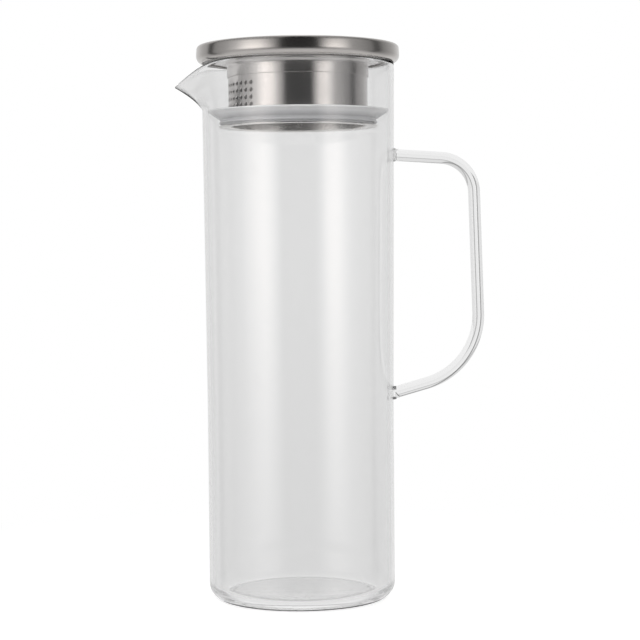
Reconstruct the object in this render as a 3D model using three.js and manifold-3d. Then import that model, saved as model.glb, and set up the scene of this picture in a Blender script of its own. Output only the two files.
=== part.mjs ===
// A clear glass carafe with a bent-rod handle and a stainless strainer lid, in millimetres, +Z up.
// The origin is the middle of the standing face. The pouring lip points along -X, the handle along +X.
import * as THREE from "three";
import { mergeVertices } from "three/addons/utils/BufferGeometryUtils.js";
import Module from "manifold-3d";

// Glass vessel
const BASE_D = 93; // outside of the straight lower wall
const MOUTH_D = 95.7; // outside of the wall at the rim
const TAPER_START_Z = 95; // from here up to the rim the wall opens out evenly
const RIM_Z = 266.4; // top of the fire-polished rim
const WALL = 2.3;
const FLOOR = 4; // thickness of the base
const BASE_CORNER_R = 8; // outside, between the wall and the standing face
const FLOOR_CORNER_R = 5; // inside, between the wall and the floor

// Pouring lip, drawn out of the wall
const LIP_REACH = 14; // from the wall to the tip
const LIP_DROP = 10.9; // from the rim down to the tip
const LIP_DEPTH = 23; // height of wall below the rim that is drawn out
const LIP_HALF_ANGLE = THREE.MathUtils.degToRad(48); // share of the rim on each side that is drawn out
const LIP_TIP_ANGLE = THREE.MathUtils.degToRad(2); // rounding of the tip
const LIP_ROOT_ANGLE = THREE.MathUtils.degToRad(14); // rounding where the lip leaves the wall
const LIP_NARROWING = 3.5; // power that closes the channel in towards the tip
const LIP_HOLLOW = 1.5; // power that curves the channel's floor away from the wall

// Handle, one bent glass rod fused to the wall at both ends
const ROD_D = 6;
const HANDLE_DROP = 45.4; // from the rim down to the root of the upper leg
const HANDLE_SPAN = 118.8; // from the upper root down to the lower root
const HANDLE_REACH = 43.4; // from the wall to the middle of the grip, at its lower end
const GRIP_LEAN = 3; // how much nearer to the wall the grip's upper end is
const UPPER_LEG_FALL = 2.7; // from the wall to the upper corner
const LOWER_LEG_RISE = 12.5; // from the wall to the lower corner
const UPPER_BEND_R = 17.5; // at the middle of the rod
const LOWER_BEND_R = 35.5;

// Lid, pressed from stainless sheet
const LID_OVERHANG = 2.6; // beyond the glass all round
const LID_TOP_R = 1.8; // rounding of the upper edge
const LID_SIDE = 3.4; // upright band between the two roundings
const LID_CURL_R = 3.5; // rounding of the lower edge
const SHELL_SHEET = 0.6;
const HEM_OVERLAP = 1; // how far the turned-in edge reaches past the inside of the rim
const PLATE_SHEET = 0.5;

// Strainer neck below the lid
const POUR_GAP = 10.95; // ring-shaped way between the neck and the glass
const NECK_DEPTH = 31.7; // from the lid's seat to the underside of the retainer
const NECK_SHEET = 0.5;
const COLLAR_HEIGHT = 7.25; // below the lid's seat
const COLLAR_BEND_R = 2.5;
const COLLAR_FLANGE = 5.8; // flange width, measured from the neck
const RETAINER_FLANGE = 5; // flange width, measured from the neck
const RETAINER_BEND_R = 0.3;
const RETAINER_SPIGOT = 6; // height of the part that plugs into the neck
const HOLE_D = 2.3;
const HOLE_PITCH_UP = 3.5;
const HOLE_PITCH_ROUND = 3.6;
const HOLE_COLUMNS = 11;
const HOLE_LEAD = THREE.MathUtils.degToRad(20); // how far the pierced field is turned from the lip to the front
const HOLE_MARGIN = 1.8; // least distance from a row's middle to the seal and to the collar

// Silicone seal round the foot of the neck
const SEAL_FOOT = 3.7; // thickness where it stands on the retainer
const SEAL_FOOT_HEIGHT = 0.6;
const SEAL_BEAD = 5; // thickness at the small lower lip
const SEAL_BEAD_RISE = 0.8; // height of each of the small lip's two slopes
const SEAL_WAIST = 4.3; // thickness between the two lips
const SEAL_WAIST_HEIGHT = 0.8;
const SEAL_LIP_RISE = 3.85; // height of the big upper lip's slope
const SEAL_LIP_EDGE = 0.7; // thickness of the big lip at its tip
const SEAL_DISH = 0.8; // how far the top of the seal sinks towards the neck

// Clearances
const GLASS_GAP = 0.3; // between the glass and what touches it
const SHEET_GAP = 0.1; // between one pressed piece and the next
const SEAL_GAP = 0.15; // between the seal and the neck

// Fineness of the round surfaces
const VESSEL_SEGMENTS = 72;
const VESSEL_CROWDING = 0.65; // 0 spaces the segments evenly, near 1 crowds them at the pouring lip
const LID_SEGMENTS = 56;
const ARC_POINTS = 5;
const RIM_POINTS = 6;
const LIP_LEVELS = 6;
const ROD_SIDES = 12;
const ROD_STEPS = 48;
const HOLE_SIDES = 8;

const mouthInnerR = MOUTH_D / 2 - WALL;
const handleTopZ = RIM_Z - HANDLE_DROP;
const handleBottomZ = handleTopZ - HANDLE_SPAN;
const lidR = MOUTH_D / 2 + LID_OVERHANG;
const lidTop = LID_CURL_R + LID_SIDE + LID_TOP_R;
const hemR = mouthInnerR - HEM_OVERLAP;
const neckR = mouthInnerR - POUR_GAP;

// Heights in the lid are counted from its seat on the rim.
const lidSeatZ = RIM_Z + GLASS_GAP;
const retainerTop = -NECK_DEPTH + NECK_SHEET;
const sealBottom = retainerTop + SHEET_GAP;
const sealBeadZ = sealBottom + SEAL_FOOT_HEIGHT + SEAL_BEAD_RISE;
const sealWaistZ = sealBeadZ + SEAL_BEAD_RISE;
const sealLipZ = sealWaistZ + SEAL_WAIST_HEIGHT;
const sealTop = sealLipZ + SEAL_LIP_RISE + SEAL_LIP_EDGE;
const plateBottom = SHELL_SHEET + SHEET_GAP;

const glass = new THREE.MeshStandardMaterial({
  color: 0xe6eaea, roughness: 0.03, metalness: 0, transparent: true, opacity: 0.3,
});
const brushedSteel = new THREE.MeshStandardMaterial({ color: 0xb9b5b0, roughness: 0.32, metalness: 1 });
const silicone = new THREE.MeshStandardMaterial({ color: 0xdfe2e3, roughness: 0.55, metalness: 0 });

const wasm = await Module();
wasm.setup();

// Turns a closed geometry into a solid that can be cut and joined.
function solidOf(geometry) {
  const bare = geometry.clone();
  bare.deleteAttribute("normal");
  bare.deleteAttribute("uv");
  const merged = mergeVertices(bare, 1e-4);
  const corners = merged.index.array;
  const triVerts = [];
  for (let i = 0; i < corners.length; i += 3) {
    const [a, b, c] = corners.slice(i, i + 3);
    if (a !== b && b !== c && c !== a) triVerts.push(a, b, c);
  }
  return new wasm.Manifold(new wasm.Mesh({
    numProp: 3,
    vertProperties: new Float32Array(merged.attributes.position.array),
    triVerts: new Uint32Array(triVerts),
  }));
}

function geometryOf(solid) {
  const { vertProperties, triVerts } = solid.getMesh();
  const geometry = new THREE.BufferGeometry();
  geometry.setAttribute("position", new THREE.BufferAttribute(new Float32Array(vertProperties), 3));
  geometry.setIndex(new THREE.BufferAttribute(new Uint32Array(triVerts), 1));
  geometry.computeVertexNormals();
  return geometry;
}

// Turns an anticlockwise outline in (radius, height) about the Z axis, starting from -X.
function turned(points, segments) {
  return new THREE.LatheGeometry(points, segments, -Math.PI / 2).rotateX(Math.PI / 2);
}

const at = (radius, height) => new THREE.Vector2(radius, height);

// Points of a round corner about (radius, height), from one angle to another in quarter turns.
function corner(radius, height, r, fromQuarter, toQuarter, count = ARC_POINTS) {
  const points = [];
  for (let i = 0; i <= count; i++) {
    const angle = (Math.PI / 2) * (fromQuarter + ((toQuarter - fromQuarter) * i) / count);
    points.push(at(radius + r * Math.cos(angle), height + r * Math.sin(angle)));
  }
  return points;
}

const mesh = (name, geometry, material) => Object.assign(new THREE.Mesh(geometry, material), { name });

// Outside radius of the vessel's wall at a height.
function wallR(z) {
  const opened = THREE.MathUtils.clamp((z - TAPER_START_Z) / (RIM_Z - TAPER_START_Z), 0, 1);
  return THREE.MathUtils.lerp(BASE_D, MOUTH_D, opened) / 2;
}

// How much of the lip's draw a point takes, by its angle from the lip: 1 in the middle, 0 at its ends.
// The channel is round where it leaves the wall (height 0) and comes to a point at the tip (height 1).
function lipShare(angle, height) {
  const rounding = THREE.MathUtils.lerp(LIP_ROOT_ANGLE, LIP_TIP_ANGLE, height);
  const rounded = (a) => Math.hypot(a, rounding) - rounding;
  const left = 1 - rounded(angle) / rounded(LIP_HALF_ANGLE);
  return left > 0 ? left ** LIP_NARROWING : 0;
}

// The vessel: a floor, a wall and a rounded rim in one outline. The lip is drawn out of the turned shape.
function vesselBody() {
  const rimR = WALL / 2;
  const shoulderZ = RIM_Z - LIP_DEPTH;
  const wallTopZ = RIM_Z - rimR;
  const floorR = BASE_D / 2 - WALL - FLOOR_CORNER_R;
  const levels = [TAPER_START_Z];
  for (let i = 0; i < LIP_LEVELS; i++) {
    levels.push(THREE.MathUtils.lerp(shoulderZ, wallTopZ, i / LIP_LEVELS));
  }
  const outline = [
    at(0, 0),
    ...corner(BASE_D / 2 - BASE_CORNER_R, BASE_CORNER_R, BASE_CORNER_R, -1, 0),
    ...levels.map((z) => at(wallR(z), z)),
    ...corner(wallR(wallTopZ) - rimR, wallTopZ, rimR, 0, 2, RIM_POINTS),
    ...levels.toReversed().map((z) => at(wallR(z) - WALL, z)),
    ...corner(floorR, FLOOR + FLOOR_CORNER_R, FLOOR_CORNER_R, 0, -1),
    at(0, FLOOR),
  ];
  const geometry = turned(outline, VESSEL_SEGMENTS);
  const position = geometry.attributes.position;
  const point = new THREE.Vector3();
  for (let i = 0; i < position.count; i++) {
    point.fromBufferAttribute(position, i);
    const even = Math.atan2(point.y, -point.x);
    const angle = even - VESSEL_CROWDING * Math.sin(even);
    const height = Math.max(0, (point.z - shoulderZ) / LIP_DEPTH);
    const share = lipShare(angle, height);
    const radius = Math.hypot(point.x, point.y) + share * LIP_REACH * height ** LIP_HOLLOW;
    const z = point.z - share * LIP_DROP * height;
    position.setXYZ(i, -radius * Math.cos(angle), radius * Math.sin(angle), z);
  }
  geometry.computeVertexNormals();
  return mesh("carafe_body", geometry, glass);
}

// A flat path in the XZ plane, as a curve in space.
class UprightCurve extends THREE.Curve {
  constructor(path) {
    super();
    this.path = path;
  }
  getPoint(t, target = new THREE.Vector3()) {
    const { x, y } = this.path.getPoint(t);
    return target.set(x, 0, y);
  }
}

// Runs a path to a corner and round it, towards the point after it.
function roundCorner(path, vertex, next, r) {
  const here = path.currentPoint;
  const inward = new THREE.Vector2().subVectors(vertex, here).normalize();
  const outward = new THREE.Vector2().subVectors(next, vertex).normalize();
  const turn = Math.acos(inward.dot(outward));
  const back = r * Math.tan(turn / 2);
  const start = vertex.clone().addScaledVector(inward, -back);
  const centre = start.clone().add(new THREE.Vector2(inward.y, -inward.x).multiplyScalar(r));
  const from = Math.atan2(start.y - centre.y, start.x - centre.x);
  path.lineTo(start.x, start.y).absarc(centre.x, centre.y, r, from, from - turn, true);
}

// The handle: a rod swept along two legs and a grip, then cut to the round of the wall at both roots.
function handle() {
  const gripX = BASE_D / 2 + HANDLE_REACH;
  const top = at(wallR(handleTopZ) - ROD_D / 2, handleTopZ);
  const upper = at(gripX - GRIP_LEAN, handleTopZ - UPPER_LEG_FALL);
  const lower = at(gripX, handleBottomZ + LOWER_LEG_RISE);
  const bottom = at(wallR(handleBottomZ) - ROD_D / 2, handleBottomZ);
  const path = new THREE.Path().moveTo(top.x, top.y);
  roundCorner(path, upper, lower, UPPER_BEND_R);
  roundCorner(path, lower, bottom, LOWER_BEND_R);
  path.lineTo(bottom.x, bottom.y);

  const section = new THREE.Shape().absarc(0, 0, ROD_D / 2, 0, 2 * Math.PI);
  const rod = new THREE.ExtrudeGeometry(section, {
    steps: ROD_STEPS, curveSegments: ROD_SIDES / 2, extrudePath: new UprightCurve(path),
  });
  const wall = turned([
    at(0, BASE_CORNER_R),
    ...[BASE_CORNER_R, TAPER_START_Z, RIM_Z].map((z) => at(wallR(z) + GLASS_GAP, z)),
    at(0, RIM_Z),
  ], 2 * VESSEL_SEGMENTS);
  return mesh("handle", geometryOf(solidOf(rod).subtract(solidOf(wall))), glass);
}

// The lid's outer shell: a flat cap with a round edge, curled in below to a flat hem that rests on the rim.
function lidTopShell() {
  const outline = [
    at(0, lidTop - SHELL_SHEET),
    ...corner(lidR - LID_TOP_R, lidTop - LID_TOP_R, LID_TOP_R - SHELL_SHEET, 1, 0),
    ...corner(lidR - LID_CURL_R, LID_CURL_R, LID_CURL_R - SHELL_SHEET, 0, -1),
    at(hemR, SHELL_SHEET),
    at(hemR, 0),
    ...corner(lidR - LID_CURL_R, LID_CURL_R, LID_CURL_R, -1, 0),
    ...corner(lidR - LID_TOP_R, lidTop - LID_TOP_R, LID_TOP_R, 0, 1),
    at(0, lidTop),
  ];
  return mesh("lid_top_shell", turned(outline, LID_SEGMENTS), brushedSteel);
}

// The disc that closes the lid's underside. Its edge lies on the shell's hem.
function lidUnderPlate() {
  const plateR = lidR - LID_CURL_R;
  const plateTop = plateBottom + PLATE_SHEET;
  const outline = [at(0, plateBottom), at(plateR, plateBottom), at(plateR, plateTop), at(0, plateTop)];
  return mesh("lid_under_plate", turned(outline, LID_SEGMENTS), brushedSteel);
}

// Outline of a sheet tube from bottomZ up to a flange that turns outwards at flangeTopZ.
function flangedTube(boreR, flangeR, bendR, bottomZ, flangeTopZ, bendPoints) {
  const tubeR = boreR + NECK_SHEET;
  const bendZ = flangeTopZ - NECK_SHEET - bendR;
  const outline = [
    at(boreR, bottomZ),
    at(tubeR, bottomZ),
    ...corner(tubeR + bendR, bendZ, bendR, 2, 1, bendPoints),
    at(flangeR, flangeTopZ - NECK_SHEET),
    at(flangeR, flangeTopZ),
    ...corner(tubeR + bendR, bendZ, bendR + NECK_SHEET, 1, 2, bendPoints),
  ];
  return [...outline, outline[0]];
}

// The collar under the lid: flanged against the under plate, and sleeved over the head of the neck.
function neckCollar() {
  const boreR = neckR + SHEET_GAP;
  const outline = flangedTube(
    boreR, neckR + COLLAR_FLANGE, COLLAR_BEND_R, -COLLAR_HEIGHT, plateBottom - SHEET_GAP, ARC_POINTS,
  );
  return mesh("neck_collar", turned(outline, LID_SEGMENTS), brushedSteel);
}

// The strainer: a thin tube pierced by a grid of round holes near the pouring lip.
// It has one flat for each step of the grid, so that every hole lies in the middle of a flat.
function strainerSleeve() {
  const flats = Math.round((2 * Math.PI * neckR) / HOLE_PITCH_ROUND);
  const bottom = retainerTop + RETAINER_BEND_R + SHEET_GAP;
  const top = plateBottom - SHEET_GAP;
  const boreR = neckR - NECK_SHEET;
  const step = (2 * Math.PI) / flats;
  const outline = [at(boreR, bottom), at(neckR, bottom), at(neckR, top), at(boreR, top), at(boreR, bottom)];

  const band = -COLLAR_HEIGHT - sealTop;
  const rows = Math.floor((band - 2 * HOLE_MARGIN) / HOLE_PITCH_UP) + 1;
  const punches = [];
  for (let row = 0; row < rows; row++) {
    for (let column = 0; column < HOLE_COLUMNS; column++) {
      const punch = new THREE.CylinderGeometry(HOLE_D / 2, HOLE_D / 2, 4 * NECK_SHEET, HOLE_SIDES)
        .rotateZ(Math.PI / 2)
        .translate(-(neckR - NECK_SHEET / 2), 0, sealTop + HOLE_MARGIN + row * HOLE_PITCH_UP)
        .rotateZ((column + 0.5) * step);
      punches.push(solidOf(punch));
    }
  }
  const pierced = geometryOf(solidOf(turned(outline, flats)).subtract(wasm.Manifold.union(punches)));
  return mesh("strainer_sleeve", pierced.rotateZ(HOLE_LEAD - (HOLE_COLUMNS * step) / 2), brushedSteel);
}

// The retainer: a short spigot in the foot of the neck, with a flange that carries the seal.
function sealRetainer() {
  const boreR = neckR - 2 * NECK_SHEET - SHEET_GAP;
  const raised = flangedTube(boreR, neckR + RETAINER_FLANGE, RETAINER_BEND_R, -RETAINER_SPIGOT, 0, 2);
  const outline = raised.map((p) => at(p.x, -NECK_DEPTH - p.y)).reverse();
  return mesh("seal_retainer", turned(outline, LID_SEGMENTS), brushedSteel);
}

// The seal: a ring with a small lower lip and a big upper lip that wipes the inside of the glass.
function sealRing() {
  const boreR = neckR + SEAL_GAP;
  const lipR = Math.min(wallR(lidSeatZ + sealTop), wallR(RIM_Z)) - WALL - GLASS_GAP;
  const outline = [
    at(boreR, sealBottom),
    at(neckR + SEAL_FOOT, sealBottom),
    at(neckR + SEAL_FOOT, sealBottom + SEAL_FOOT_HEIGHT),
    at(neckR + SEAL_BEAD, sealBeadZ),
    at(neckR + SEAL_WAIST, sealWaistZ),
    at(neckR + SEAL_WAIST, sealLipZ),
    at(lipR, sealTop - SEAL_LIP_EDGE),
    at(lipR, sealTop),
    at((boreR + lipR) / 2, sealTop - SEAL_DISH),
    at(boreR, sealTop - SEAL_DISH),
    at(boreR, sealBottom),
  ];
  return mesh("seal_ring", turned(outline, LID_SEGMENTS), silicone);
}

const lid = new THREE.Group();
lid.position.z = lidSeatZ;
lid.add(lidTopShell(), lidUnderPlate(), neckCollar(), strainerSleeve(), sealRetainer(), sealRing());

const carafe = new THREE.Group();
carafe.add(vesselBody(), handle(), lid);

export default carafe;
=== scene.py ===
"""Looks of a clear glass carafe with a bent-rod handle and a stainless strainer lid.

Sizes are in millimetres and follow the CAD part. They become metres when a mesh or a finish is made.
The pouring lip points along -X, the handle along +X, and the photograph is taken from -Y.
"""
from math import acos, atan2, cos, floor, hypot, pi, radians, sin, sqrt, tan

import bpy
from mathutils import Matrix, Vector


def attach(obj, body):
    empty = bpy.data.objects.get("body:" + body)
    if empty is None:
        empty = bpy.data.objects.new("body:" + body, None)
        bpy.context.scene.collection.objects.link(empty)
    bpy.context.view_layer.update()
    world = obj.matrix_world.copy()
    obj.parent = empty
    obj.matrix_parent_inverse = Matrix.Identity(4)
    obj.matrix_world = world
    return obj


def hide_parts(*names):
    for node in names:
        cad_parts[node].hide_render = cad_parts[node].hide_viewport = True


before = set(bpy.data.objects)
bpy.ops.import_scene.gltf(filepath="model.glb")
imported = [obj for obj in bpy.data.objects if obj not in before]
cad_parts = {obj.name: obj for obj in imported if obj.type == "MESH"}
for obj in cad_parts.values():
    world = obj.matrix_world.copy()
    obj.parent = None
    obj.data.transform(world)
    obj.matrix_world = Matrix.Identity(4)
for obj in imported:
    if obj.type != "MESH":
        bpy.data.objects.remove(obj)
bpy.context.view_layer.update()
MM = 0.001

# Glass vessel
BASE_D = 93
MOUTH_D = 95.7
TAPER_START_Z = 95
RIM_Z = 266.4
WALL = 2.3
FLOOR = 4
BASE_CORNER_R = 8
FLOOR_CORNER_R = 5
BASE_GROOVE_R = 35.5
BASE_GROOVE_WIDTH = 3.6
BASE_GROOVE_DEPTH = 0.9

# Pouring lip
LIP_REACH = 14
LIP_DROP = 10.9
LIP_DEPTH = 23
LIP_HALF_ANGLE = radians(48)
LIP_TIP_ANGLE = radians(2)
LIP_ROOT_ANGLE = radians(14)
LIP_NARROWING = 3.5
LIP_HOLLOW = 1.5

# Handle
ROD_D = 6
HANDLE_DROP = 45.4
HANDLE_SPAN = 118.8
HANDLE_REACH = 43.4
GRIP_LEAN = 3
UPPER_LEG_FALL = 2.7
LOWER_LEG_RISE = 12.5
UPPER_BEND_R = 17.5
LOWER_BEND_R = 35.5
ROOT_FLARE = 0.5
ROOT_FLARE_LENGTH = 2.5
FUSED_GAP = 0.04

# Lid and strainer neck
LID_OVERHANG = 2.6
LID_TOP_R = 1.8
LID_SIDE = 3.4
LID_SIDE_DRAFT = 0.2
LID_CURL_R = 3.5
SHELL_SHEET = 0.6
HEM_OVERLAP = 1
HEM_DULL_SHADE_HEIGHT = 0.15
POUR_GAP = 10.95
NECK_DEPTH = 31.7
NECK_SHEET = 0.5
COLLAR_HEIGHT = 7.25
COLLAR_BEND_R = 2.5
COLLAR_FLANGE = 5.8
RETAINER_FLANGE = 5
RETAINER_BEND_R = 0.3
RETAINER_SPIGOT = 6
HOLE_D = 2.3
HOLE_PITCH_UP = 3.5
HOLE_PITCH_ROUND = 3.6
HOLE_COLUMNS = 11
HOLE_LEAD = radians(20)
HOLE_MARGIN = 1.8

# Silicone seal
SEAL_FOOT = 3.7
SEAL_FOOT_HEIGHT = 0.6
SEAL_BEAD = 5
SEAL_BEAD_RISE = 0.8
SEAL_WAIST = 4.3
SEAL_WAIST_HEIGHT = 0.8
SEAL_LIP_RISE = 3.85
SEAL_LIP_EDGE = 0.7
SEAL_DISH = 0.8

# Clearances
GLASS_GAP = 0.3
SHEET_GAP = 0.1
SEAL_GAP = 0.15

# Edges and segments
FLAT_MARGIN = 1
SHEET_EDGE = 0.2
SEAL_EDGE = 0.35
LID_SEGMENTS = 256
RING_SEGMENTS = 240

# Places and strengths of the painted shade in the glass: painted dark lines and a painted grey base disc
LIP_LINE_START = 0.3
LIP_LINE_HALF = 2.5
FOOT_LINE_FADE = (1.2, 2.2)
FOOT_CLEAR_TOP = 1.5
BASE_DISC_FADE = (0.02, 0.1)
GROOVE_SLOPE_LOW = (0.05, 0.2)
GROOVE_SLOPE_HIGH = (0.7, 0.88)
ROOT_RING_INNER = (2.4, 3.1)
ROOT_RING_OUTER = (3.4, 3.9)
ROOT_RING_FADE = 0.3
LOWER_ROOT_BARE = 1.9
FOOT_DARKNESS = 0.9
BASE_DISC_SHADE = 0.6
GROOVE_DARKNESS = 0.65
UPPER_ROOT_DARKNESS = 0.6
LOWER_ROOT_DARKNESS = 0.8

MOUTH_INNER_R = MOUTH_D / 2 - WALL
LID_R = MOUTH_D / 2 + LID_OVERHANG
HEM_R = MOUTH_INNER_R - HEM_OVERLAP
NECK_R = MOUTH_INNER_R - POUR_GAP
SEAT_Z = RIM_Z + GLASS_GAP
LID_TOP_Z = SEAT_Z + LID_CURL_R + LID_SIDE + LID_TOP_R
PLATE_Z = SEAT_Z + SHELL_SHEET + SHEET_GAP
NECK_FOOT_Z = SEAT_Z - NECK_DEPTH
RETAINER_Z = NECK_FOOT_Z + NECK_SHEET
SEAL_FOOT_Z = RETAINER_Z + SHEET_GAP
SEAL_BEAD_Z = SEAL_FOOT_Z + SEAL_FOOT_HEIGHT + SEAL_BEAD_RISE
SEAL_WAIST_Z = SEAL_BEAD_Z + SEAL_BEAD_RISE
SEAL_LIP_Z = SEAL_WAIST_Z + SEAL_WAIST_HEIGHT
SEAL_TOP_Z = SEAL_LIP_Z + SEAL_LIP_RISE + SEAL_LIP_EDGE
UPPER_ROOT_Z = RIM_Z - HANDLE_DROP
LOWER_ROOT_Z = UPPER_ROOT_Z - HANDLE_SPAN


def wall_r(z):
    """Outside radius of the vessel's wall at a height."""
    opened = min(max((z - TAPER_START_Z) / (RIM_Z - TAPER_START_Z), 0), 1)
    return (BASE_D + (MOUTH_D - BASE_D) * opened) / 2


def corner(radius, height, r, start, end, steps=10):
    """Points of a round corner about (radius, height), from one angle to another in quarter turns."""
    angles = [(start + (end - start) * i / steps) * pi / 2 for i in range(steps + 1)]
    return [(radius + r * cos(a), height + r * sin(a)) for a in angles]


def soften(outline, r, steps=5):
    """A closed outline with every sharp corner rounded to r, or to less where its sides are short."""
    nearly_straight = radians(150)
    most_of_a_side = 0.45
    soft = []
    for i, here in enumerate(outline):
        before, after = Vector(outline[i - 1]), Vector(outline[(i + 1) % len(outline)])
        here = Vector(here)
        back, on = before - here, after - here
        angle = back.angle(on)
        if angle > nearly_straight:
            soft.append(tuple(here))
            continue
        cut = min(r / tan(angle / 2), most_of_a_side * back.length, most_of_a_side * on.length)
        start, end = here + back.normalized() * cut, here + on.normalized() * cut
        for k in range(steps + 1):
            t = k / steps
            soft.append(tuple(start * (1 - t) ** 2 + here * 2 * t * (1 - t) + end * t ** 2))
    return soft


def piece(name, points, faces, finish, body, cad_node, second=None, second_faces=()):
    """Makes a smooth piece from points in millimetres and puts it in place of its CAD node.

    The faces numbered in second_faces take the second finish.
    """
    mesh = bpy.data.meshes.new(name)
    mesh.from_pydata([Vector(p) * MM for p in points], [], faces)
    mesh.validate()
    mesh.shade_smooth()
    mesh.set_sharp_from_angle(angle=radians(40))
    mesh.materials.append(finish)
    if second:
        mesh.materials.append(second)
    for f in second_faces:
        mesh.polygons[f].material_index = 1
    made = bpy.data.objects.new(name, mesh)
    bpy.context.scene.collection.objects.link(made)
    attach(made, body)
    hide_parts(cad_node)


def turned(outline, angles, closed):
    """Points and faces of an anticlockwise outline in (radius, height), turned about Z by the angles."""
    on_axis = 1e-6
    points, rings, faces = [], [], []
    for radius, height in outline:
        if radius < on_axis:
            rings.append([len(points)] * len(angles))
            points.append((0, 0, height))
        else:
            rings.append(range(len(points), len(points) + len(angles)))
            points += [(radius * cos(a), radius * sin(a), height) for a in angles]
    pairs = list(zip(rings, rings[1:])) + ([(rings[-1], rings[0])] if closed else [])
    for low, high in pairs:
        for k in range(len(angles)):
            n = (k + 1) % len(angles)
            face = [low[k], low[n], high[n], high[k]]
            faces.append(list(dict.fromkeys(face)))
    return points, faces


def even_angles(count):
    """Angles of a full turn, in equal steps."""
    return [2 * pi * k / count for k in range(count)]


# Vessel

def lip_share(angle, height):
    """How much of the lip's draw a point takes: 1 in the middle of the lip, 0 at its ends."""
    rounding = LIP_ROOT_ANGLE + (LIP_TIP_ANGLE - LIP_ROOT_ANGLE) * height

    def rounded(a):
        return hypot(a, rounding) - rounding

    return max(0, 1 - rounded(angle) / rounded(LIP_HALF_ANGLE)) ** LIP_NARROWING


def blow_vessel(finish, rim_finish):
    """The glass vessel, with a shallow ring groove under its base. Its segments crowd at the pouring lip."""
    rim_r = WALL / 2
    shoulder_z, wall_top_z = RIM_Z - LIP_DEPTH, RIM_Z - WALL / 2
    base_flat_r = BASE_D / 2 - BASE_CORNER_R
    floor_flat_r = BASE_D / 2 - WALL - FLOOR_CORNER_R
    taper_step, shoulder_step, lip_rows = 30, 20, 36
    levels = [TAPER_START_Z - taper_step, TAPER_START_Z, TAPER_START_Z + taper_step]
    levels.append(shoulder_z - shoulder_step)
    levels += [shoulder_z + (wall_top_z - shoulder_z) * i / lip_rows for i in range(lip_rows)]
    outline = [(0, 0)]
    groove_steps = 8
    for i in range(-groove_steps, groove_steps + 1):
        t = i / groove_steps
        depth = BASE_GROOVE_DEPTH * (1 + cos(pi * t)) / 2
        outline.append((BASE_GROOVE_R + t * BASE_GROOVE_WIDTH / 2, depth))
    outline += corner(base_flat_r, BASE_CORNER_R, BASE_CORNER_R, -1, 0, 16)
    outline += [(wall_r(z), z) for z in [BASE_CORNER_R + FLAT_MARGIN] + levels]
    rim_start = len(outline)
    outline += corner(wall_r(wall_top_z) - rim_r, wall_top_z, rim_r, 0, 2, 14)
    rim_end = len(outline) - 1
    outline += [(wall_r(z) - WALL, z) for z in levels[::-1] + [FLOOR + FLOOR_CORNER_R + FLAT_MARGIN]]
    outline += corner(floor_flat_r, FLOOR + FLOOR_CORNER_R, FLOOR_CORNER_R, 0, -1, 16)
    outline += [(floor_flat_r - FLAT_MARGIN, FLOOR), (0, FLOOR)]
    crowding = 0.5
    segments = 420
    angles = [pi + a - crowding * sin(a) for a in even_angles(segments)]
    points, faces = turned(outline, angles, closed=False)
    drawn = []
    for x, y, z in points:
        angle = atan2(y, -x)
        height = max(0, (z - shoulder_z) / LIP_DEPTH)
        share = lip_share(angle, height)
        radius = hypot(x, y) + share * LIP_REACH * height ** LIP_HOLLOW
        drawn.append((-radius * cos(angle), radius * sin(angle), z - share * LIP_DROP * height))
    rim = range(rim_start * segments, rim_end * segments)
    piece("glass_vessel", drawn, faces, finish, "vessel", "carafe_body", rim_finish, rim)


# Handle

def round_bend(path, vertex, after, r, step=radians(2.5)):
    """Runs a path to a corner and round it, towards the point after it."""
    here, vertex, after = Vector(path[-1]), Vector(vertex), Vector(after)
    inward, outward = (vertex - here).normalized(), (after - vertex).normalized()
    turn = acos(inward.dot(outward))
    start = vertex - inward * r * tan(turn / 2)
    centre = start + Vector((inward.y, -inward.x)) * r
    first = atan2(start.y - centre.y, start.x - centre.x)
    count = max(2, round(turn / step))
    for i in range(count + 1):
        a = first - turn * i / count
        path.append((centre.x + r * cos(a), centre.y + r * sin(a)))


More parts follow.
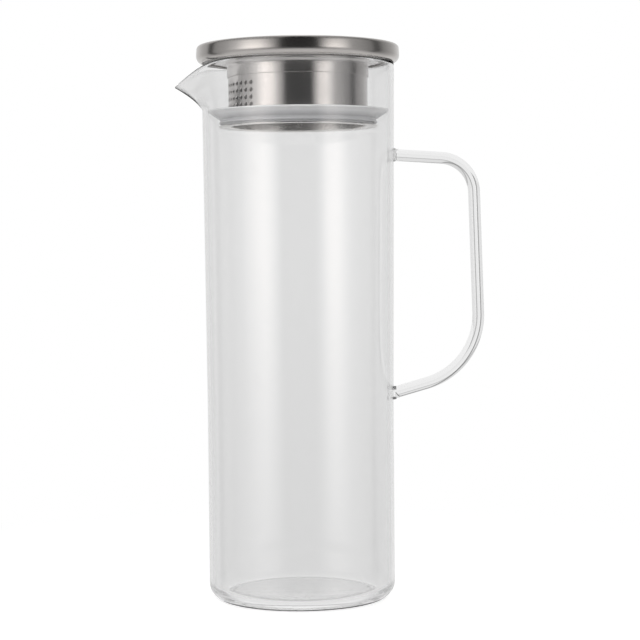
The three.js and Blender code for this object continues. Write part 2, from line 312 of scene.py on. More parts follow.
def bend_handle(finish):
    """The glass rod, swept along its path. It spreads a little at each root, where it is fused on."""
    grip_x = BASE_D / 2 + HANDLE_REACH
    upper = (grip_x - GRIP_LEAN, UPPER_ROOT_Z - UPPER_LEG_FALL)
    lower = (grip_x, LOWER_ROOT_Z + LOWER_LEG_RISE)
    top, bottom = (wall_r(UPPER_ROOT_Z), UPPER_ROOT_Z), (wall_r(LOWER_ROOT_Z), LOWER_ROOT_Z)
    path = [top]
    round_bend(path, upper, lower, UPPER_BEND_R)
    round_bend(path, lower, bottom, LOWER_BEND_R)
    path.append(bottom)
    flare_steps = 8
    near_root = [ROOT_FLARE_LENGTH * i / flare_steps for i in range(1, flare_steps + 2)]

    def along(a, b, distance):
        way = Vector(b) - Vector(a)
        return tuple(Vector(a) + way.normalized() * distance)

    path[1:1] = [along(path[0], path[1], d) for d in near_root]
    path[-1:-1] = [along(path[-1], path[-2], d) for d in near_root[::-1]]

    sides = 112
    points, rings = [], []
    for i, (x, z) in enumerate(path):
        ahead = Vector(path[min(i + 1, len(path) - 1)]) - Vector(path[max(i - 1, 0)])
        ahead.normalize()
        from_root = min(hypot(x - e[0], z - e[1]) for e in (top, bottom))
        rod_r = ROD_D / 2 + ROOT_FLARE * max(0, 1 - from_root / ROOT_FLARE_LENGTH) ** 2
        rings.append(range(len(points), len(points) + sides))
        for a in even_angles(sides):
            side, out = rod_r * sin(a), rod_r * cos(a)
            px, py, pz = x + ahead.y * out, side, z - ahead.x * out
            if i in (0, len(path) - 1):
                px = sqrt((wall_r(pz) + FUSED_GAP) ** 2 - py ** 2)
            points.append((px, py, pz))
    faces = []
    for low, high in zip(rings, rings[1:]):
        for k in range(sides):
            n = (k + 1) % sides
            faces.append((low[k], low[n], high[n], high[k]))
    end_rings = (0.7, 0.35)
    for ring, end, outward in ((rings[0], top, True), (rings[-1], bottom, False)):
        edge = list(ring)
        for share in end_rings:
            inner = list(range(len(points), len(points) + sides))
            for k in ring:
                y, z = points[k][1] * share, end[1] + (points[k][2] - end[1]) * share
                points.append((sqrt((wall_r(z) + FUSED_GAP) ** 2 - y ** 2), y, z))
            for k in range(sides):
                n = (k + 1) % sides
                face = (edge[k], edge[n], inner[n], inner[k])
                faces.append(face[::-1] if outward else face)
            edge = inner
        faces.append(edge[::-1] if outward else edge)
    piece("glass_handle", points, faces, finish, "vessel", "handle")


# Lid

def press_lid_shell(finish, hem_finish_and_shade):
    """The lid's cap. Its side leans in a little, and its edge curls in below to a flat, dull hem, darkened
    partly as painted shade.
    """
    steps, side_steps = 14, 8
    lean_in_quarters = 0.07
    flat_r = LID_R - LID_TOP_R - FLAT_MARGIN
    curl_r, curl_z = LID_R - LID_CURL_R, SEAT_Z + LID_CURL_R
    top_bend_z = LID_TOP_Z - LID_TOP_R
    outline = [(0, LID_TOP_Z - SHELL_SHEET), (flat_r, LID_TOP_Z - SHELL_SHEET)]
    outline += corner(LID_R - LID_TOP_R, top_bend_z, LID_TOP_R - SHELL_SHEET, 1, 0, steps)
    outline += corner(curl_r, curl_z, LID_CURL_R - SHELL_SHEET, 0, -1, steps)
    outline += [(HEM_R + SHEET_EDGE, SEAT_Z + SHELL_SHEET), (HEM_R, SEAT_Z + SHELL_SHEET - SHEET_EDGE)]
    outline += [(HEM_R, SEAT_Z + SHEET_EDGE), (HEM_R + SHEET_EDGE, SEAT_Z)]
    outline += corner(curl_r, curl_z, LID_CURL_R, -1, 0, steps)
    for i in range(1, side_steps):
        t = i / side_steps
        outline.append((LID_R - LID_SIDE_DRAFT * t ** 2, curl_z + LID_SIDE * t))
    outline += corner(LID_R - LID_SIDE_DRAFT - LID_TOP_R, top_bend_z, LID_TOP_R, lean_in_quarters, 1, steps)
    outline += [(flat_r, LID_TOP_Z), (0, LID_TOP_Z)]
    points, faces = turned(outline, even_angles(LID_SEGMENTS), closed=False)
    # The hem takes the dark steel: partly its duller finish, partly painted shade for the gap under the
    # lid's edge
    hem_top = SEAT_Z + HEM_DULL_SHADE_HEIGHT
    hem = [i for i, face in enumerate(faces) if all(points[k][2] < hem_top for k in face)]
    piece("lid_shell", points, faces, finish, "lid", "lid_top_shell", hem_finish_and_shade, hem)


def flanged_ring(bore_r, flange_r, bend_r, bottom_z, flange_top_z):
    """Outline of a sheet tube that turns outwards into a flange at its top."""
    tube_r = bore_r + NECK_SHEET
    bend_z = flange_top_z - NECK_SHEET - bend_r
    outline = [(bore_r, bottom_z), (tube_r, bottom_z)]
    outline += corner(tube_r + bend_r, bend_z, bend_r, 2, 1)
    outline += [(flange_r, flange_top_z - NECK_SHEET), (flange_r, flange_top_z)]
    outline += corner(tube_r + bend_r, bend_z, bend_r + NECK_SHEET, 1, 2)
    return soften(outline, SHEET_EDGE)


def press_collar(finish):
    """The flanged collar under the lid, over the head of the neck."""
    bottom_z, top_z = SEAT_Z - COLLAR_HEIGHT, PLATE_Z - SHEET_GAP
    outline = flanged_ring(NECK_R + SHEET_GAP, NECK_R + COLLAR_FLANGE, COLLAR_BEND_R, bottom_z, top_z)
    points, faces = turned(outline, even_angles(RING_SEGMENTS), closed=True)
    piece("neck_collar_ring", points, faces, finish, "lid", "neck_collar")


def press_retainer(finish):
    """The flanged ring in the foot of the neck, turned over so that its flange is below."""
    bore_r = NECK_R - 2 * NECK_SHEET - SHEET_GAP
    raised = flanged_ring(bore_r, NECK_R + RETAINER_FLANGE, RETAINER_BEND_R, -RETAINER_SPIGOT, 0)
    outline = [(r, NECK_FOOT_Z - z) for r, z in raised][::-1]
    points, faces = turned(outline, even_angles(RING_SEGMENTS), closed=True)
    piece("retainer_ring", points, faces, finish, "lid", "seal_retainer")


def roll_strainer(finish, inside_shade_finish):
    """The neck's tube, in cells of the hole grid. Its holes lie at the lip, led a little to the front."""
    cells = round(2 * pi * NECK_R / HOLE_PITCH_ROUND)
    bottom = RETAINER_Z + RETAINER_BEND_R + SHEET_GAP
    top = PLATE_Z - SHEET_GAP
    band = SEAT_Z - COLLAR_HEIGHT - SEAL_TOP_Z
    rows = floor((band - 2 * HOLE_MARGIN) / HOLE_PITCH_UP) + 1
    first = SEAL_TOP_Z + HOLE_MARGIN
    cuts, plain_rows = 6, 2
    points, faces, inner, known = [], [], [], {}

    def point(turn, z, depth):
        """A point of the outer skin (depth 0) or inner skin (depth 1). turn counts cells from the lip."""
        key = (round(turn % cells, 6) % cells, round(z, 6), depth)
        if key not in known:
            angle, r = pi + turn * 2 * pi / cells, NECK_R - depth * NECK_SHEET
            known[key] = len(points)
            points.append((r * cos(angle), r * sin(angle), z))
        return known[key]

    def skin(corners):
        """The same face on both skins, the inner one turned to face the axis."""
        faces.append([point(t, z, 0) for t, z in corners])
        inner.append(len(faces))
        faces.append([point(t, z, 1) for t, z in corners[::-1]])

    def plain(turn, z0, z1, high):
        """A stretch of one cell without a hole."""
        for i in range(cuts):
            a, b = turn + i / cuts, turn + (i + 1) / cuts
            for j in range(high):
                low, up = z0 + (z1 - z0) * j / high, z0 + (z1 - z0) * (j + 1) / high
                skin([(a, low), (b, low), (b, up), (a, up)])

    def pierced(turn, z0):
        """One cell with a hole through both skins."""
        half = cuts // 2
        edge = [(i - half, -half) for i in range(cuts)] + [(half, i - half) for i in range(cuts)]
        edge += [(half - i, half) for i in range(cuts)] + [(-half, half - i) for i in range(cuts)]
        hole = []
        for x, y in edge:
            a = atan2(y * HOLE_PITCH_UP, x * HOLE_PITCH_ROUND)
            hole.append((
                turn + 0.5 + HOLE_D / 2 * cos(a) / HOLE_PITCH_ROUND,
                z0 + HOLE_PITCH_UP / 2 + HOLE_D / 2 * sin(a),
            ))
        edge = [(turn + 0.5 + x / cuts, z0 + HOLE_PITCH_UP * (0.5 + y / cuts)) for x, y in edge]
        for k in range(len(edge)):
            n = (k + 1) % len(edge)
            skin([edge[k], edge[n], hole[n], hole[k]])
            faces.append([point(*hole[k], 0), point(*hole[n], 0), point(*hole[n], 1), point(*hole[k], 1)])

    grid_low, grid_high = first - HOLE_PITCH_UP / 2, first + (rows - 0.5) * HOLE_PITCH_UP
    for c in range(cells):
        turn = c - HOLE_COLUMNS / 2 + HOLE_LEAD * cells / (2 * pi)
        plain(turn, bottom, grid_low, plain_rows)
        plain(turn, grid_high, top, plain_rows)
        for row in range(rows):
            z0 = grid_low + row * HOLE_PITCH_UP
            if c < HOLE_COLUMNS:
                pierced(turn, z0)
            else:
                plain(turn, z0, z0 + HOLE_PITCH_UP, cuts)
        for i in range(cuts):
            a, b = turn + i / cuts, turn + (i + 1) / cuts
            faces.append([point(t, bottom, depth) for t, depth in ((b, 0), (a, 0), (a, 1), (b, 1))])
            faces.append([point(t, top, depth) for t, depth in ((a, 0), (b, 0), (b, 1), (a, 1))])
    # The inner skin takes the dark steel, painted shade inside the tube
    piece("strainer_tube", points, faces, finish, "lid", "strainer_sleeve", inside_shade_finish, inner)


def mould_seal(finish):
    """The silicone ring, with a small lower lip and a big upper lip against the glass."""
    bore_r = NECK_R + SEAL_GAP
    lip_r = min(wall_r(SEAL_TOP_Z), wall_r(RIM_Z)) - WALL - GLASS_GAP
    outline = [
        (bore_r, SEAL_FOOT_Z),
        (NECK_R + SEAL_FOOT, SEAL_FOOT_Z),
        (NECK_R + SEAL_FOOT, SEAL_FOOT_Z + SEAL_FOOT_HEIGHT),
        (NECK_R + SEAL_BEAD, SEAL_BEAD_Z),
        (NECK_R + SEAL_WAIST, SEAL_WAIST_Z),
        (NECK_R + SEAL_WAIST, SEAL_LIP_Z),
        (lip_r, SEAL_TOP_Z - SEAL_LIP_EDGE),
        (lip_r, SEAL_TOP_Z),
        ((bore_r + lip_r) / 2, SEAL_TOP_Z - SEAL_DISH),
        (bore_r, SEAL_TOP_Z - SEAL_DISH),
    ]
    points, faces = turned(soften(outline, SEAL_EDGE, 6), even_angles(RING_SEGMENTS), closed=True)
    piece("silicone_seal", points, faces, finish, "seal", "seal_ring")


# Shader nodes

def node(tree, kind, **settings):
    """Adds a shader node and sets its properties."""
    made = tree.nodes.new(kind)
    for key, value in settings.items():
        setattr(made, key, value)
    return made


def set_inputs(target, **values):
    """Sets a node's inputs by their names, with _ for a space."""
    for key, value in values.items():
        target.inputs[key.replace("_", " ")].default_value = value


def join(tree, value, socket):
    """Links a socket to an input, or sets the input to a number or a colour."""
    if isinstance(value, bpy.types.NodeSocket):
        tree.links.new(value, socket)
    else:
        socket.default_value = value


def calc(tree, operation, a, b=0):
    """A Math node. a and b are sockets or numbers."""
    made = node(tree, "ShaderNodeMath", operation=operation)
    join(tree, a, made.inputs[0])
    join(tree, b, made.inputs[1])
    return made.outputs[0]


def times(tree, *values):
    """The product of several sockets or numbers."""
    product = values[0]
    for value in values[1:]:
        product = calc(tree, "MULTIPLY", product, value)
    return product


def highest(tree, *values):
    """The highest of several sockets or numbers."""
    top = values[0]
    for value in values[1:]:
        top = calc(tree, "MAXIMUM", top, value)
    return top


def diagonal(tree, a, b):
    """The distance that two lengths at right angles make together."""
    return calc(tree, "SQRT", calc(tree, "ADD", times(tree, a, a), times(tree, b, b)))


def blend(tree, share, a, b):
    """A Mix node for numbers."""
    made = node(tree, "ShaderNodeMix")
    for value, socket in zip((share, a, b), (made.inputs[0], made.inputs[2], made.inputs[3])):
        join(tree, value, socket)
    return made.outputs[0]


def tone(tree, share, a, b):
    """A Mix node for colours."""
    made = node(tree, "ShaderNodeMix", data_type="RGBA")
    for value, socket in zip((share, a, b), (made.inputs[0], made.inputs[6], made.inputs[7])):
        join(tree, value, socket)
    return made.outputs[2]


def spread(tree, value, low, high, start=0.0, end=1.0):
    """A Map Range node that takes start..end to low..high."""
    made = node(tree, "ShaderNodeMapRange")
    set_inputs(made, From_Min=start, From_Max=end, To_Min=low, To_Max=high)
    tree.links.new(value, made.inputs["Value"])
    return made.outputs["Result"]


def rise_over(tree, length, zone, high=1):
    """Goes from 0 to high across a zone of two lengths in millimetres."""
    return spread(tree, length, 0, high, zone[0] * MM, zone[1] * MM)


def fall_over(tree, length, zone, high=1):
    """Goes from high to 0 across a zone of two lengths in millimetres."""
    return spread(tree, length, high, 0, zone[0] * MM, zone[1] * MM)


def bump(tree, height, strength, depth):
    """A Bump node. depth is in millimetres."""
    made = node(tree, "ShaderNodeBump")
    set_inputs(made, Strength=strength, Distance=depth * MM)
    tree.links.new(height, made.inputs["Height"])
    return made.outputs["Normal"]


def noise(tree, place, **settings):
    """A Noise Texture at a place. Its settings are sockets or numbers."""
    made = node(tree, "ShaderNodeTexNoise")
    for key, value in {"Vector": place, **settings}.items():
        join(tree, value, made.inputs[key])
    return made.outputs[0]


def object_place(tree):
    """The place of a point on its piece, whole and as X, Y and Z."""
    place = node(tree, "ShaderNodeTexCoord").outputs["Object"]
    split = node(tree, "ShaderNodeSeparateXYZ")
    tree.links.new(place, split.inputs[0])
    return place, *split.outputs


def slant(tree):
    """How far a surface turns away: 0 where one looks straight at it, 1 where one looks along it."""
    made = node(tree, "ShaderNodeLayerWeight")
    set_inputs(made, Blend=0.5)
    return made.outputs["Facing"]


def grey(level):
    """A neutral colour."""
    return level, level, level, 1


def darker(colour, share):
    """A colour brought down to a share of itself."""
    return tuple(share * c for c in colour[:3]) + (1,)


# Finishes

def new_finish(name):
    """An empty material, with its Principled shader."""
    finish = bpy.data.materials.new(name)
    finish.use_nodes = True
    return finish, finish.node_tree, finish.node_tree.nodes["Principled BSDF"]


def new_group(name, inputs, outputs):
    """An empty shader node group of numbers. inputs maps a name to its default value."""
    group = bpy.data.node_groups.new(name, "ShaderNodeTree")
    for label, value in inputs.items():
        socket = group.interface.new_socket(label, in_out="INPUT", socket_type="NodeSocketFloat")
        socket.default_value = value
    for label in outputs:
        group.interface.new_socket(label, in_out="OUTPUT", socket_type="NodeSocketFloat")
    return group, group.nodes.new("NodeGroupInput").outputs, group.nodes.new("NodeGroupOutput").inputs


def place_group(tree, group, **values):
    """Places a node group in a material with the material's own values."""
    placed = tree.nodes.new("ShaderNodeGroup")
    placed.node_tree = group
    set_inputs(placed, **values)
    return placed.outputs


def round_brushing():
    """Fine lines that run round the Z axis, as a wheel leaves them on a spun piece."""
    group, given, result = new_group("round_brushing", {"Fineness": 9000, "Length": 6}, ["Lines", "Cloud"])
    place, x, y, z = object_place(group)
    radius = diagonal(group, x, y)
    off_axis = calc(group, "MAXIMUM", radius, 0.1 * MM)
    turn = node(group, "ShaderNodeCombineXYZ")
    for socket, side in zip(turn.inputs, (x, y)):
        group.links.new(times(group, calc(group, "DIVIDE", side, off_axis), given["Length"]), socket)
    group.links.new(times(group, calc(group, "ADD", radius, z), given["Fineness"]), turn.inputs[2])
    group.links.new(noise(group, turn.outputs[0], Scale=1, Detail=3, Roughness=0.6), result["Lines"])
    group.links.new(noise(group, place, Scale=60, Detail=4, Roughness=0.55), result["Cloud"])
    return group


def handling_marks():
    """Faint smears, as on any piece that has been wiped dry."""
    group, given, result = new_group("handling_marks", {"Size": 35}, ["Smears"])
    place = node(group, "ShaderNodeTexCoord").outputs["Object"]
    smears = noise(group, place, Scale=given["Size"], Detail=5, Roughness=0.65, Distortion=1.2)
    group.links.new(smears, result["Smears"])
    return group


def lip_painted_shade(tree, edge, x, y):
    """Painted shade: the dark edge of the pouring lip, along its ridge."""
    on_lip = calc(tree, "LESS_THAN", x, -(MOUTH_D / 2 + LIP_LINE_START) * MM)
    ridge = fall_over(tree, calc(tree, "ABSOLUTE", y), (LIP_LINE_HALF, 2 * LIP_LINE_HALF))
    return times(tree, edge, on_lip, ridge)


def foot_painted_shade(tree, facing, met_first, z):
    """Painted shade: the dark line round the foot, where one looks along the glass."""
    looked_along = spread(tree, facing, 0, FOOT_DARKNESS, 0.45, 0.75)
    return times(tree, looked_along, met_first, fall_over(tree, z, FOOT_LINE_FADE))


def groove_painted_shade(tree, radius, z):
    """Painted shade: the dark lines of the ring groove under the base, on its two slopes."""
    inside_foot = calc(tree, "LESS_THAN", radius, (BASE_GROOVE_R + BASE_GROOVE_WIDTH / 2) * MM)
    slopes = times(tree, rise_over(tree, z, GROOVE_SLOPE_LOW), fall_over(tree, z, GROOVE_SLOPE_HIGH))
    return times(tree, slopes, inside_foot, GROOVE_DARKNESS)


def root_painted_shade(tree, radius, x, y, z):
    """Painted shade: dark marks where the handle is fused on, for light the fused glass bends away: a ring
    at its upper root, two spots at its lower root.
    """
    on_wall = calc(tree, "LESS_THAN", radius, (MOUTH_D / 2 + FUSED_GAP / 2) * MM)
    handle_side = calc(tree, "GREATER_THAN", x, BASE_D / 4 * MM)
    roots = ((UPPER_ROOT_Z, 0, UPPER_ROOT_DARKNESS), (LOWER_ROOT_Z, LOWER_ROOT_BARE, LOWER_ROOT_DARKNESS))
    found = []
    for root_z, bare, dark in roots:
        up = calc(tree, "ABSOLUTE", calc(tree, "SUBTRACT", z, root_z * MM))
        off = diagonal(tree, up, y)
        ring = times(
            tree, rise_over(tree, off, ROOT_RING_INNER, dark), fall_over(tree, off, ROOT_RING_OUTER)
        )
        past_bare = rise_over(tree, up, (bare - ROOT_RING_FADE, bare))
        found.append(times(tree, ring, past_bare, on_wall, handle_side))
    return highest(tree, *found)


def clear_glass(name, marks, tint, edge_shade, waviness, rim=False):
    """Clear glass with faint draw lines and wiped marks. Lamps shine straight through it.

    Its colour has painted shade: it is greyer where one looks along its outside, and in the disc of the
    base. It has painted dark lines where real glass bends the light away: along the whole edge of a rim, or
    else at the lip, the foot, the ring groove and the roots of the handle.
    """
    finish, tree, shader = new_finish(name)
    set_inputs(shader, IOR=1.47, Transmission_Weight=1, Metallic=0)
    links = tree.links
    place, x, y, z = object_place(tree)
    radius = diagonal(tree, x, y)
    facing = slant(tree)
    rays = node(tree, "ShaderNodeLightPath").outputs

    # Painted shade: the colour greys where one looks along the outside wall, less near the foot, and in the
    # base's disc
    outer_wall = calc(tree, "GREATER_THAN", radius, (BASE_D - WALL / 2) / 2 * MM)
    outside = highest(tree, outer_wall, calc(tree, "LESS_THAN", z, FLOOR / 2 * MM))
    above_foot = spread(tree, z, 0.3, 1, FOOT_CLEAR_TOP * MM, BASE_CORNER_R * MM)
    looked_along = times(tree, spread(tree, facing, 0, 1, 0.6, 0.95), outside, above_foot)
    in_ring = calc(tree, "LESS_THAN", radius, (BASE_GROOVE_R - BASE_GROOVE_WIDTH / 2) * MM)
    base_disc_shade = times(tree, in_ring, fall_over(tree, z, BASE_DISC_FADE, BASE_DISC_SHADE))
    painted_grey = highest(tree, looked_along, base_disc_shade)
    links.new(tone(tree, painted_grey, tint, edge_shade), shader.inputs["Base Color"])

    wiped = place_group(tree, marks, Size=28)
    links.new(spread(tree, wiped["Smears"], 0, 0.015, 0.45, 0.8), shader.inputs["Roughness"])
    stretch = node(tree, "ShaderNodeMapping")
    set_inputs(stretch, Scale=(1, 1, 0.03))
    links.new(place, stretch.inputs["Vector"])
    draw_lines = noise(tree, stretch.outputs[0], Scale=60, Detail=1, Roughness=0.4)
    links.new(bump(tree, draw_lines, 1, waviness), shader.inputs["Normal"])

    # Painted shade: dark lines where one looks along the glass, or at the lip, groove, foot and handle roots
    met_first = calc(tree, "LESS_THAN", rays["Transmission Depth"], 0.5)
    dark = times(tree, spread(tree, facing, 0, 1, 0.3, 0.7), met_first)
    if not rim:
        dark = highest(
            tree,
            lip_painted_shade(tree, dark, x, y),
            groove_painted_shade(tree, radius, z),
            foot_painted_shade(tree, facing, met_first, z),
            root_painted_shade(tree, radius, x, y, z),
        )
    # Where the painted dark lines rise, the glass turns into a nearly black see-through shader
    through = node(tree, "ShaderNodeBsdfTransparent")
    links.new(tone(tree, dark, tint, grey(0.04)), through.inputs["Color"])
    trapped = calc(tree, "GREATER_THAN", rays["Ray Depth"], 8.5)
    either = node(tree, "ShaderNodeMixShader")
    links.new(highest(tree, rays["Is Shadow Ray"], trapped, dark), either.inputs["Fac"])
    links.new(shader.outputs[0], either.inputs[1])
    links.new(through.outputs[0], either.inputs[2])
    links.new(either.outputs[0], tree.nodes["Material Output"].inputs["Surface"])
    return finish


def brushed_steel(name, brushing, marks, colour, rough, stretch, fineness):
    """Stainless steel brushed round its axis, which stretches its highlights across the lines."""
    finish, tree, shader = new_finish(name)
    set_inputs(shader, Metallic=1, Anisotropic=stretch, Anisotropic_Rotation=0.25, Specular_Tint=grey(0.8))
    links = tree.links
    brushed = place_group(tree, brushing, Fineness=fineness, Length=2.5)
    wiped = place_group(tree, marks, Size=45)
    lines = spread(tree, brushed["Lines"], 0, 1, 0.3, 0.7)
    links.new(tone(tree, lines, darker(colour, 0.96), colour), shader.inputs["Base Color"])
    variation = 0.015
    worn = spread(tree, brushed["Lines"], rough - variation, rough + variation, 0.25, 0.75)
    worn = calc(tree, "ADD", worn, spread(tree, wiped["Smears"], 0, 0.04, 0.4, 0.75))
    links.new(worn, shader.inputs["Roughness"])
    links.new(bump(tree, brushed["Lines"], 0.006, 0.01), shader.inputs["Normal"])
    tangent = node(tree, "ShaderNodeTangent", direction_type="RADIAL", axis="Z")
    links.new(tangent.outputs[0], shader.inputs["Tangent"])
    return finish


def dull_steel(name, brushing, colour):
    """Rough, dark steel: painted shade inside the neck, which keeps its holes dark, and on the lid's hem,
    partly its unpolished finish and partly painted shade.
    """
    finish, tree, shader = new_finish(name)
    set_inputs(shader, Metallic=1)
    brushed = place_group(tree, brushing, Fineness=5000, Length=9)
    tree.links.new(tone(tree, brushed["Cloud"], darker(colour, 0.7), colour), shader.inputs["Base Color"])
    tree.links.new(spread(tree, brushed["Lines"], 0.45, 0.6), shader.inputs["Roughness"])
    tree.links.new(bump(tree, brushed["Lines"], 0.2, 0.01), shader.inputs["Normal"])
    return finish


def milky_silicone(name, marks, colour, shade):
    """Translucent white silicone with a satin skin. Its colour is painted light up its upper lip, paler
    where more light crosses the silicone, and takes the darker shade colour below.
    """
    finish, tree, shader = new_finish(name)
    set_inputs(shader, IOR=1.41, Coat_Weight=0.9, Coat_Roughness=0.25)
    set_inputs(shader, Subsurface_Weight=0.5, Subsurface_Radius=(0.003, 0.003, 0.0032), Subsurface_Scale=1)
    links = tree.links
    wiped = place_group(tree, marks, Size=70)
    z = object_place(tree)[3]
    # Painted light and shade: paler up the upper lip, for the light that crosses it, darker on the waist and
    # bead below
    up_the_lip = rise_over(tree, z, (SEAL_LIP_Z, SEAL_LIP_Z + 2.5), 0.9)
    lip_light_and_smears = calc(tree, "ADD", up_the_lip, spread(tree, wiped["Smears"], -0.1, 0.1, 0.35, 0.7))
    links.new(tone(tree, lip_light_and_smears, shade, colour), shader.inputs["Base Color"])
    links.new(spread(tree, slant(tree), 1, 0.3, 0.7, 1), shader.inputs["Alpha"])
    links.new(spread(tree, wiped["Smears"], 0.4, 0.55, 0.3, 0.7), shader.inputs["Roughness"])
    links.new(bump(tree, wiped["Smears"], 0.1, 0.1), shader.inputs["Normal"])
    return finish


# Studio, in metres

def set_camera():
    """The photograph's view: from the front, a little above the middle, with a slight tilt."""
    pitch, roll = radians(2.155), radians(-0.497)
    stand = (0.00998, -0.94852, 0.17468)
    right, up = Vector((1, 0, 0)), Vector((0, sin(pitch), cos(pitch)))
    turned_right = right * cos(roll) + up * sin(roll)
    turned_up = up * cos(roll) - right * sin(roll)
    back = turned_right.cross(turned_up)
    lens = bpy.data.cameras.new("photo_view")
    lens.lens, lens.sensor_width = 106.78, 36
    lens.clip_start, lens.clip_end = 0.01, 50
    camera = bpy.data.objects.new("photo_view", lens)
    turn = Matrix((turned_right, turned_up, back)).transposed()
    camera.matrix_world = Matrix.Translation(stand) @ turn.to_4x4()
    bpy.context.scene.collection.objects.link(camera)
    bpy.context.scene.camera = camera


def softbox(name, azimuth, width, radiance):
    """A soft lamp that faces the carafe. azimuth counts from the camera, positive to the right."""
    distance, height, tall = 1.1, 0.45, 0.9
    middle = Vector((0, 0, 0.14))
    lamp = bpy.data.lights.new(name, "AREA")
    lamp.shape, lamp.size, lamp.size_y = "RECTANGLE", width, tall
    lamp.energy = radiance * pi * width * tall
    placed = bpy.data.objects.new(name, lamp)
    a = radians(azimuth)
    placed.location = (distance * sin(a), -distance * cos(a), height)
    placed.rotation_euler = (middle - placed.location).to_track_quat("-Z", "Y").to_euler()
    placed.visible_glossy = placed.visible_transmission = False
    bpy.context.scene.collection.objects.link(placed)


def level_ramp(tree, value, low, high, stops):
    """A grey ramp over value, with stops of (value, level) between low and high."""
    made = node(tree, "ShaderNodeValToRGB")
    elements = made.color_ramp.elements
    elements.remove(elements[1])
    for i, (at, level) in enumerate(stops):
        place = (at - low) / (high - low)
        stop = elements.new(place) if i else elements[0]
        stop.position, stop.color = place, grey(level)
    tree.links.new(spread(tree, value, 0, 1, low, high), made.inputs["Fac"])
    return made.outputs["Color"]


def light_world():
    """A pale studio. The camera sees white, and dull surfaces get an even light.

    Steel and the skin of the glass mirror a room with two warm lamps. Through clear glass one sees a white
    backdrop, with pale panels and dim strips that show only along the edges of the wall.
    """
    world = bpy.data.worlds.new("studio")
    world.use_nodes = True
    world.cycles.sampling_method = "NONE"
    bpy.context.scene.world = world
    tree = world.node_tree
    split = node(tree, "ShaderNodeSeparateXYZ")
    tree.links.new(node(tree, "ShaderNodeTexCoord").outputs["Generated"], split.inputs[0])
    x, y, rise = split.outputs
    turn = times(tree, calc(tree, "ARCTAN2", x, times(tree, y, -1)), 180 / pi)
    rays = node(tree, "ShaderNodeLightPath").outputs
    crossed = rays["Transmission Depth"]

    walls = level_ramp(tree, turn, -180, 180, [
        (-180, 1), (-150, 0.9), (-136, 0.65), (-122, 0.52), (-119, 0.06), (-112, 0.06), (-108, 0.36),
        (-85, 0.52), (-62, 0.5), (-24, 0.2), (-16, 0.03), (20, 0.03), (28, 0.15), (56, 0.5), (74, 0.42),
        (93, 0.28), (99, 0.1), (105, 0.1), (112, 0.3), (136, 0.6), (154, 0.95), (180, 1),
    ])
    lamps = level_ramp(tree, turn, -180, 180, [
        (-86, 0), (-73, 0.22), (-55, 1), (-42, 1), (-20, 0), (23, 0), (36, 0.87), (46, 0.87), (64, 0),
    ])
    lamp_height = level_ramp(tree, rise, -1, 1, [
        (-0.24, 0), (-0.15, 0.33), (-0.1, 0.5), (-0.04, 0.8), (0.01, 1), (0.06, 1), (0.1, 0.8), (0.28, 0.4),
        (0.42, 0),
    ])
    below = level_ramp(tree, rise, -1, 1, [(-0.7, 1), (-0.4, 0)])
    glow = times(tree, lamps, lamp_height)
    floor_level, lamp_level, even_level, inner_level = 0.8, 2, 0.3, 0.85
    room = calc(tree, "ADD", blend(tree, below, walls, floor_level), times(tree, glow, lamp_level))

    panels = level_ramp(tree, turn, -180, 180, [
        (-180, 0.9), (-172, 0.95), (-168, 0.2), (-165, 0.25), (-161, 0.82), (-20, 0.82), (-15, 0.25),
        (-10, 0.95), (10, 0.95), (15, 0.25), (20, 0.82), (163, 0.82), (168, 0.3), (172, 0.9), (180, 0.9),
    ])
    panel_height = level_ramp(tree, rise, -1, 1, [(0, 1), (0.19, 1), (0.26, 0.5), (0.33, 0.85)])
    plain = level_ramp(tree, rise, -1, 1, [(-0.16, 0.93), (0, 1)])
    # A ray that has crossed two skins at most has run along one side of the wall
    along_wall = times(tree, calc(tree, "LESS_THAN", crossed, 2.5), calc(tree, "GREATER_THAN", rise, -0.13))
    backdrop = times(tree, plain, blend(tree, along_wall, 1, times(tree, panels, panel_height)))

    # A ray that is mirrored within the glass has crossed one to three skins, and finds at least a pale light
    entered, not_out = calc(tree, "GREATER_THAN", crossed, 0.5), calc(tree, "LESS_THAN", crossed, 3.5)
    mirrored = calc(tree, "GREATER_THAN", rays["Glossy Depth"], 0.5)
    mirrored_room = highest(tree, room, times(tree, entered, not_out, inner_level))
    clear = highest(tree, rays["Is Glossy Ray"], rays["Is Transmission Ray"])
    strength = blend(tree, clear, even_level, blend(tree, mirrored, backdrop, mirrored_room))
    light = tree.nodes["Background"]
    lamp_colour = (1, 0.955, 0.925, 1)
    tree.links.new(tone(tree, times(tree, glow, mirrored), grey(1), lamp_colour), light.inputs["Color"])
    tree.links.new(blend(tree, rays["Is Camera Ray"], strength, 1), light.inputs["Strength"])


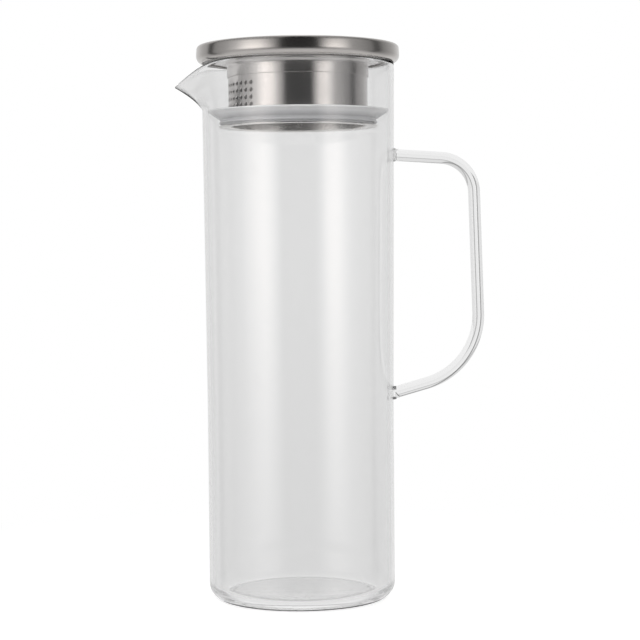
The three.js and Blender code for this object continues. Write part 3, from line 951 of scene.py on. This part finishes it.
def lay_floor():
    """A pale floor that runs out into the white background and keeps the carafe's shadow."""
    count, radius, floor_z = 96, 0.6, -0.3 * MM
    mesh = bpy.data.meshes.new("floor")
    rim = [(radius * cos(a), radius * sin(a), floor_z) for a in even_angles(count)]
    mesh.from_pydata(rim, [], [range(count)])
    finish, tree, shader = new_finish("pale_floor")
    links = tree.links
    place = node(tree, "ShaderNodeTexCoord").outputs["Object"]
    grain = noise(tree, place, Scale=900, Detail=2)
    links.new(tone(tree, grain, grey(0.78), grey(0.82)), shader.inputs["Base Color"])
    set_inputs(shader, Roughness=0.9)
    camera_ray = node(tree, "ShaderNodeLightPath").outputs["Is Camera Ray"]
    lift, white = node(tree, "ShaderNodeEmission"), node(tree, "ShaderNodeEmission")
    links.new(times(tree, camera_ray, 0.6), lift.inputs["Strength"])
    set_inputs(white, Strength=1)
    lifted = node(tree, "ShaderNodeAddShader")
    links.new(shader.outputs[0], lifted.inputs[0])
    links.new(lift.outputs[0], lifted.inputs[1])
    distance = node(tree, "ShaderNodeVectorMath", operation="LENGTH")
    links.new(place, distance.inputs[0])
    far = spread(tree, distance.outputs["Value"], 0, 1, 0.12, 0.32)
    faded = node(tree, "ShaderNodeMixShader")
    links.new(times(tree, far, camera_ray), faded.inputs["Fac"])
    links.new(lifted.outputs[0], faded.inputs[1])
    links.new(white.outputs[0], faded.inputs[2])
    links.new(faded.outputs[0], tree.nodes["Material Output"].inputs["Surface"])
    mesh.materials.append(finish)
    floor_disc = bpy.data.objects.new("floor", mesh)
    floor_disc.visible_glossy = floor_disc.visible_transmission = False
    bpy.context.scene.collection.objects.link(floor_disc)


brushing = round_brushing()
marks = handling_marks()
# The second colour of each glass is the painted shade where one looks along its outside
wall_tint, wall_edge_shade = grey(0.895), grey(0.25)
vessel_glass = clear_glass("clear_drawn_glass", marks, wall_tint, wall_edge_shade, waviness=0.01)
rim_glass = clear_glass("clear_rim_glass", marks, wall_tint, wall_edge_shade, waviness=0.001, rim=True)
rod_glass = clear_glass("clear_rod_glass", marks, grey(0.94), grey(0.9), waviness=0.001)
shell_steel = brushed_steel(
    "lid_brushed_steel", brushing, marks, (0.585, 0.56, 0.54, 1), rough=0.22, stretch=0.8, fineness=2500
)
neck_steel = brushed_steel(
    "neck_brushed_steel", brushing, marks, (0.75, 0.725, 0.71, 1), rough=0.22, stretch=0.9, fineness=3000
)
# A paler copy of the neck's steel: painted light that lifts the retainer's shaded underside
foot_steel_painted_light = brushed_steel(
    "foot_brushed_steel_painted_light", brushing, marks, (0.95, 0.93, 0.91, 1), rough=0.26, stretch=0.8, fineness=3000
)
# Dark steel: painted shade on the hem, with its duller finish, and inside the neck
hem_steel_and_shade = dull_steel("hem_dull_steel_and_shade", brushing, (0.4, 0.39, 0.38, 1))
inner_shade_steel = dull_steel("neck_inside_painted_shade_steel", brushing, grey(0.3))
# The seal's second colour is the painted shade of its lower part
silicone = milky_silicone("milky_silicone", marks, (0.97, 0.97, 0.98, 1), (0.5, 0.5, 0.51, 1))

blow_vessel(vessel_glass, rim_glass)
bend_handle(rod_glass)
press_lid_shell(shell_steel, hem_steel_and_shade)
press_collar(neck_steel)
roll_strainer(neck_steel, inner_shade_steel)
press_retainer(foot_steel_painted_light)
mould_seal(silicone)

# The under plate is a plain disc, so it keeps its CAD shape
under_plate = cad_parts["lid_under_plate"].data
under_plate.materials.clear()
under_plate.materials.append(neck_steel)

set_camera()
light_world()
lay_floor()
softbox("softbox_left", -52, width=0.6, radiance=5)
softbox("softbox_right", 40, width=0.45, radiance=5)
bpy.context.scene.view_settings.view_transform = "Standard"
paths = bpy.context.scene.cycles
paths.max_bounces = paths.transmission_bounces = paths.glossy_bounces = 24
